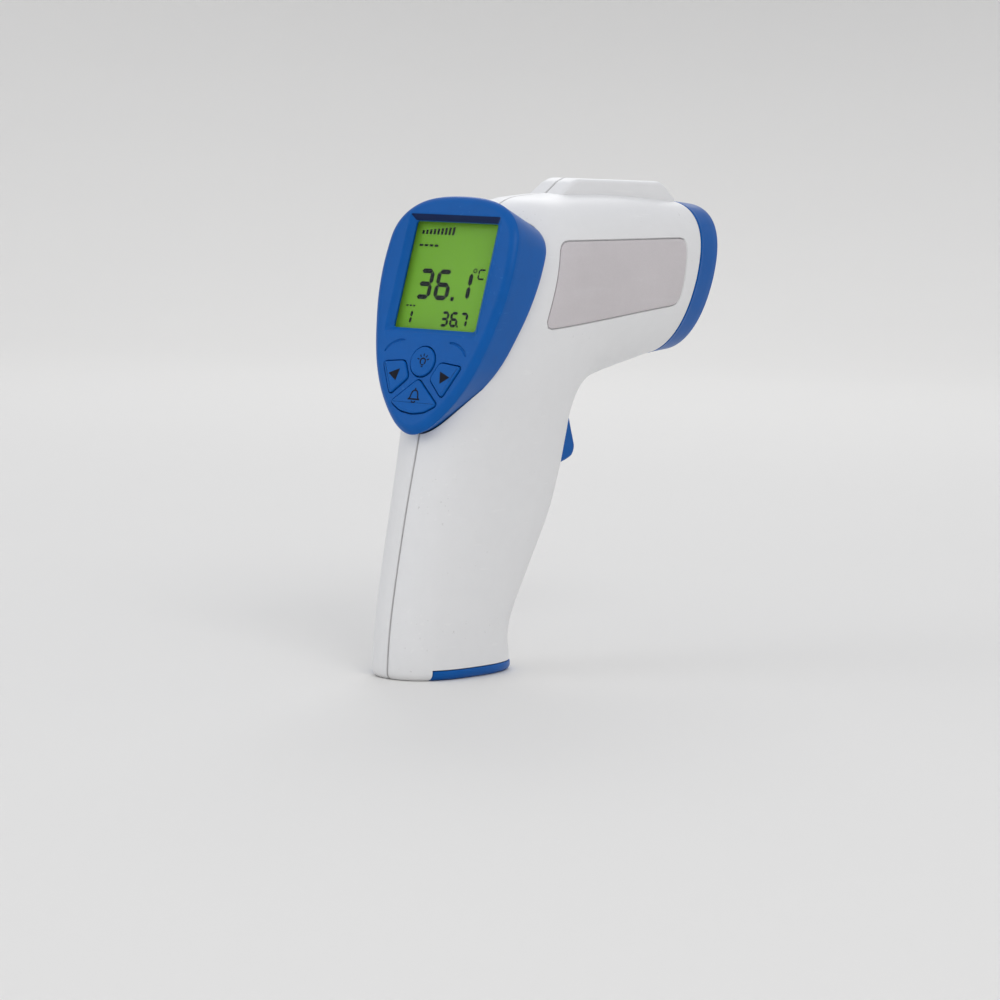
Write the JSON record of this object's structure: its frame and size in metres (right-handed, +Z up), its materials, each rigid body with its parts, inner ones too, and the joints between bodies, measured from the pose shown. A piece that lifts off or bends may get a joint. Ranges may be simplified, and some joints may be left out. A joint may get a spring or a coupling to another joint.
{
  "type": "infrared forehead thermometer",
  "caption": "Hand-held non-contact thermometer gun with a tilted display, push keys, trigger, sensor nozzle and a battery grip.",
  "frame": {"origin": "on the ground under the middle of the bounding box, with the thermometer standing on the foot of its grip", "axes": "+Z up, +Y the way the nozzle looks, +X to the user's right"},
  "size_m": [0.05, 0.1359, 0.1466],
  "materials": {
    "housing_left": "smooth satin white ABS",
    "housing_right": "smooth satin white ABS",
    "display_bezel": "satin blue ABS",
    "side_label_left": "grey inlaid plate",
    "side_label_right": "grey inlaid plate",
    "lcd_window": "clear acrylic lens",
    "lcd_glass": "liquid crystal cell, yellow green",
    "lcd_backlight": "diffusing light guide",
    "lcd_frame": "natural ABS carrier",
    "zebra_strip": "layered elastomer connector",
    "main_board": "solder-masked glass epoxy",
    "main_chip": "moulded black plastic",
    "key_mat": "silicone rubber",
    "button_light": "satin blue ABS",
    "button_left": "satin blue ABS",
    "button_right": "satin blue ABS",
    "button_sound": "satin blue ABS",
    "buzzer": "moulded black plastic",
    "nozzle_cap": "satin blue ABS",
    "sensor_cone": "polished horn",
    "sensor_sleeve": "moulded black plastic",
    "thermopile_can": "nickel-plated can",
    "sensor_board": "solder-masked glass epoxy",
    "sensor_cable": "insulated flat lead",
    "trigger": "satin blue ABS",
    "trigger_pin": "plated steel",
    "trigger_spring": "plated steel",
    "trigger_switch": "moulded black plastic",
    "switch_plunger": "moulded plunger",
    "switch_board": "solder-masked glass epoxy",
    "switch_cable": "insulated lead",
    "battery_tray": "moulded black plastic",
    "battery_1": "printed sleeve, copper and black",
    "battery_2": "printed sleeve, copper and black",
    "contact_plus": "plated steel",
    "contact_minus": "plated steel",
    "contact_bridge": "plated steel",
    "battery_door": "satin blue ABS",
    "wire_red": "PVC insulation",
    "wire_black": "PVC insulation",
    "housing_screw_1": "plated steel",
    "housing_screw_2": "plated steel",
    "housing_screw_3": "plated steel",
    "housing_screw_4": "plated steel",
    "housing_screw_5": "plated steel",
    "board_screw_1": "plated steel",
    "board_screw_2": "plated steel",
    "board_screw_3": "plated steel",
    "board_screw_4": "plated steel"
  },
  "bodies": {
    "main": {"housing_left": "housing_left", "housing_right": "housing_right", "display_bezel": "display_bezel", "side_label_left": "side_label_left", "side_label_right": "side_label_right", "lcd_window": "lcd_window", "lcd_glass": "lcd_glass", "lcd_backlight": "lcd_backlight", "lcd_frame": "lcd_frame", "zebra_strip": "zebra_strip", "main_board": "main_board", "main_chip": "main_chip", "key_mat": "key_mat", "buzzer": "buzzer", "nozzle_cap": "nozzle_cap", "sensor_cone": "sensor_cone", "sensor_sleeve": "sensor_sleeve", "thermopile_can": "thermopile_can", "sensor_board": "sensor_board", "sensor_cable": "sensor_cable", "trigger_pin": "trigger_pin", "trigger_spring": "trigger_spring", "trigger_switch": "trigger_switch", "switch_board": "switch_board", "switch_cable": "switch_cable", "battery_tray": "battery_tray", "battery_1": "battery_1", "battery_2": "battery_2", "contact_plus": "contact_plus", "contact_minus": "contact_minus", "wire_red": "wire_red", "wire_black": "wire_black", "housing_screw_1": "housing_screw_1", "housing_screw_2": "housing_screw_2", "housing_screw_3": "housing_screw_3", "housing_screw_4": "housing_screw_4", "housing_screw_5": "housing_screw_5", "board_screw_1": "board_screw_1", "board_screw_2": "board_screw_2", "board_screw_3": "board_screw_3", "board_screw_4": "board_screw_4"},
    "trigger_arm": {"trigger": "trigger"},
    "plunger": {"switch_plunger": "switch_plunger"},
    "door": {"battery_door": "battery_door", "contact_bridge": "contact_bridge"},
    "button_light_key": {"button_light": "button_light"},
    "button_left_key": {"button_left": "button_left"},
    "button_right_key": {"button_right": "button_right"},
    "button_sound_key": {"button_sound": "button_sound"}
  },
  "joints": [
    {"name": "trigger_pull", "type": "hinge", "parent": "main", "child": "trigger_arm", "pos_m": [0, -0.001, 0.0795], "axis": [-1, 0, 0], "range_deg": [0, 7], "stiffness_Nm_per_rad": 0.25, "springref_deg": -5.73},
    {"name": "plunger_push", "type": "slide", "parent": "main", "child": "plunger", "axis": [0, -1, 0], "range_m": [0, 0.0017]},
    {"name": "door_open", "type": "hinge", "parent": "main", "child": "door", "pos_m": [0, -0.0602, 0.0005], "axis": [-1, 0, 0], "range_deg": [0, 95]},
    {"name": "button_light_press", "type": "slide", "parent": "main", "child": "button_light_key", "axis": [0, 0.9563, -0.2924], "range_m": [0, 0.0008], "stiffness_N_per_m": 1200, "springref_m": -0.0004},
    {"name": "button_left_press", "type": "slide", "parent": "main", "child": "button_left_key", "axis": [0, 0.9563, -0.2924], "range_m": [0, 0.0008], "stiffness_N_per_m": 1200, "springref_m": -0.0004},
    {"name": "button_right_press", "type": "slide", "parent": "main", "child": "button_right_key", "axis": [0, 0.9563, -0.2924], "range_m": [0, 0.0008], "stiffness_N_per_m": 1200, "springref_m": -0.0004},
    {"name": "button_sound_press", "type": "slide", "parent": "main", "child": "button_sound_key", "axis": [0, 0.9563, -0.2924], "range_m": [0, 0.0008], "stiffness_N_per_m": 1200, "springref_m": -0.0004}
  ],
  "couplings": [
    {"joint": "plunger_push", "follows": "trigger_pull", "m_per_rad": 0.0135}
  ]
}
